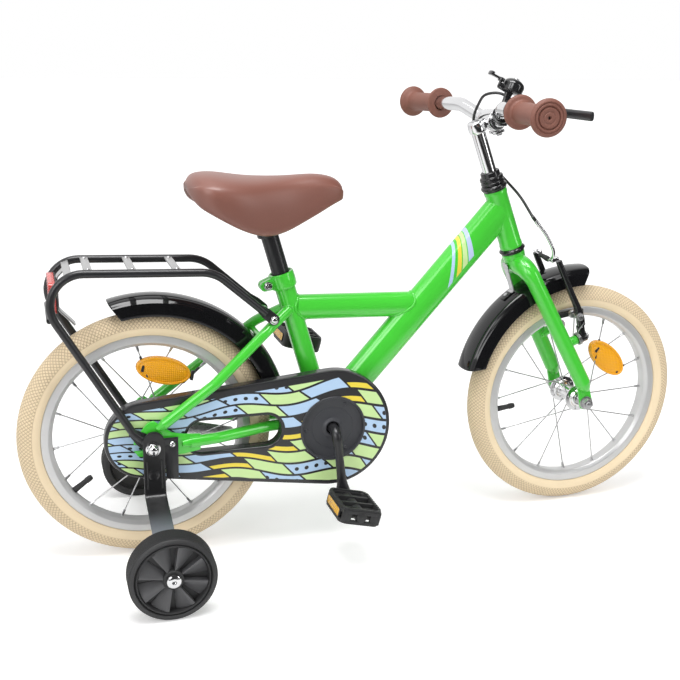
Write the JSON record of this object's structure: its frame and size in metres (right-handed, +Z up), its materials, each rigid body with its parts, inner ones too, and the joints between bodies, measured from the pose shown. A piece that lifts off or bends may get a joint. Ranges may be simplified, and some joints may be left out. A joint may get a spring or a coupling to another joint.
{
  "type": "kids bike",
  "caption": "Small child's bike with stabilisers, a rear carrier, deep mudguards, a full chain case, cream tyres and a hand brake at the front",
  "frame": {"origin": "on the floor, under the middle of the bike's length and width", "axes": "+X ahead, +Y to the rider's left, +Z up"},
  "size_m": [1.115, 0.5128, 0.7363],
  "materials": {
    "green_paint": "gloss",
    "gloss_black": "gloss",
    "black_gloss_plastic": "gloss",
    "satin_black": "satin",
    "black_plastic": "matte",
    "cable_housing": "satin",
    "chrome": "mirror",
    "brushed_alloy": "brushed",
    "zinc_steel": "satin",
    "cream_rubber": "matte",
    "brown_vinyl": "satin",
    "brown_rubber": "matte",
    "brake_rubber": "matte",
    "red_lens": "gloss",
    "orange_lens": "gloss"
  },
  "bodies": {
    "frame": {"frame": "green_paint", "rear_stays": "green_paint", "lower_headset_cup": "gloss_black", "upper_headset_cup": "gloss_black", "seat_clamp": "green_paint", "seat_clamp_bolt": "chrome", "bottom_bracket": "zinc_steel", "rear_axle": "zinc_steel", "coaster_brake_arm": "zinc_steel", "rear_mudguard": "black_gloss_plastic", "rear_carrier": "satin_black", "carrier_slat_rear": "brushed_alloy", "carrier_slat_middle": "brushed_alloy", "carrier_slat_front": "brushed_alloy", "reflector_bracket": "brushed_alloy", "rear_reflector": "red_lens", "stabiliser_lock_right": "satin_black", "stabiliser_lock_left": "satin_black", "stabiliser_arm_right": "satin_black", "stabiliser_arm_left": "satin_black", "chain_case_back": "black_gloss_plastic", "chain_case_cover": "black_gloss_plastic", "chain_case_disc": "black_plastic", "chain": "zinc_steel"},
    "steering": {"fork": "green_paint", "headset_locknut": "gloss_black", "stem": "chrome", "handlebar": "chrome", "grip_right": "brown_rubber", "grip_left": "brown_rubber", "bell": "black_gloss_plastic", "brake_lever_bracket": "satin_black", "brake_cable": "cable_housing", "front_mudguard": "black_gloss_plastic", "front_mudguard_bracket": "zinc_steel", "front_axle": "zinc_steel"},
    "bell_thumb": {"bell_lever": "black_gloss_plastic"},
    "lever": {"brake_lever": "satin_black"},
    "brake_right": {"brake_arm_right": "satin_black", "brake_pad_right": "brake_rubber", "brake_noodle": "zinc_steel"},
    "brake_left": {"brake_arm_left": "satin_black", "brake_pad_left": "brake_rubber"},
    "front_wheel": {"front_tyre": "cream_rubber", "front_rim": "brushed_alloy", "front_hub": "brushed_alloy", "front_spoke_reflector": "orange_lens"},
    "rear_wheel": {"rear_tyre": "cream_rubber", "rear_rim": "brushed_alloy", "rear_hub": "chrome", "rear_spoke_reflector": "orange_lens"},
    "driver": {"rear_sprocket": "zinc_steel"},
    "cranks": {"crank": "satin_black"},
    "pedal_r": {"pedal_right": "black_plastic"},
    "pedal_l": {"pedal_left": "black_plastic"},
    "outrigger_r": {"stabiliser_wheel_right": "black_plastic"},
    "outrigger_l": {"stabiliser_wheel_left": "black_plastic"},
    "seat": {"saddle": "brown_vinyl", "seatpost": "satin_black", "saddle_clamp": "zinc_steel"}
  },
  "joints": [
    {"name": "steering_turn", "type": "hinge", "parent": "frame", "child": "steering", "pos_m": [0.23634, 0, 0.45667], "axis": [-0.3502, 0, 0.9367], "range_deg": [-60, 60]},
    {"name": "front_wheel_spin", "type": "hinge", "parent": "steering", "child": "front_wheel", "pos_m": [0.365, 0, 0.1925], "axis": [0, 1, 0], "continuous": true},
    {"name": "rear_wheel_spin", "type": "hinge", "parent": "frame", "child": "rear_wheel", "pos_m": [-0.365, 0, 0.1925], "axis": [0, 1, 0], "continuous": true},
    {"name": "crank_spin", "type": "hinge", "parent": "frame", "child": "cranks", "pos_m": [-0.082, 0, 0.19], "axis": [0, 1, 0], "continuous": true},
    {"name": "driver_spin", "type": "hinge", "parent": "frame", "child": "driver", "pos_m": [-0.365, 0, 0.1925], "axis": [0, 1, 0], "continuous": true},
    {"name": "pedal_right_spin", "type": "hinge", "parent": "cranks", "child": "pedal_r", "pos_m": [-0.07169, -0.129, 0.08852], "axis": [0, 1, 0], "continuous": true},
    {"name": "pedal_left_spin", "type": "hinge", "parent": "cranks", "child": "pedal_l", "pos_m": [-0.09231, 0.129, 0.29148], "axis": [0, 1, 0], "continuous": true},
    {"name": "stabiliser_right_spin", "type": "hinge", "parent": "frame", "child": "outrigger_r", "pos_m": [-0.362, -0.214, 0.0615], "axis": [0, 1, 0], "continuous": true},
    {"name": "stabiliser_left_spin", "type": "hinge", "parent": "frame", "child": "outrigger_l", "pos_m": [-0.362, 0.214, 0.0615], "axis": [0, 1, 0], "continuous": true},
    {"name": "brake_lever_pull", "type": "hinge", "parent": "steering", "child": "lever", "pos_m": [0.19932, -0.121, 0.67912], "axis": [0, 0, -1], "range_deg": [0, 20], "stiffness_Nm_per_rad": 0.4, "springref_deg": -11.46},
    {"name": "brake_arm_right_close", "type": "hinge", "parent": "steering", "child": "brake_right", "pos_m": [0.35698, -0.04, 0.30534], "axis": [-0.9367, 0, -0.3502], "range_deg": [0, 1.8], "stiffness_Nm_per_rad": 0.5, "springref_deg": -5.73},
    {"name": "brake_arm_left_close", "type": "hinge", "parent": "steering", "child": "brake_left", "pos_m": [0.35698, 0.04, 0.30534], "axis": [0.9367, 0, 0.3502], "range_deg": [0, 1.8], "stiffness_Nm_per_rad": 0.5, "springref_deg": -5.73},
    {"name": "bell_lever_push", "type": "hinge", "parent": "steering", "child": "bell_thumb", "pos_m": [0.17381, -0.053, 0.71591], "axis": [0.4067, 0, 0.9135], "range_deg": [0, 30], "stiffness_Nm_per_rad": 0.02, "springref_deg": -11.46},
    {"name": "seat_height", "type": "slide", "parent": "frame", "child": "seat", "axis": [-0.2807, 0, 0.9598], "range_m": [-0.04, 0.07]}
  ],
  "couplings": [
    {"joint": "driver_spin", "follows": "crank_spin", "ratio": 1.7778},
    {"joint": "brake_arm_right_close", "follows": "brake_lever_pull", "ratio": 0.09},
    {"joint": "brake_arm_left_close", "follows": "brake_lever_pull", "ratio": 0.09}
  ]
}
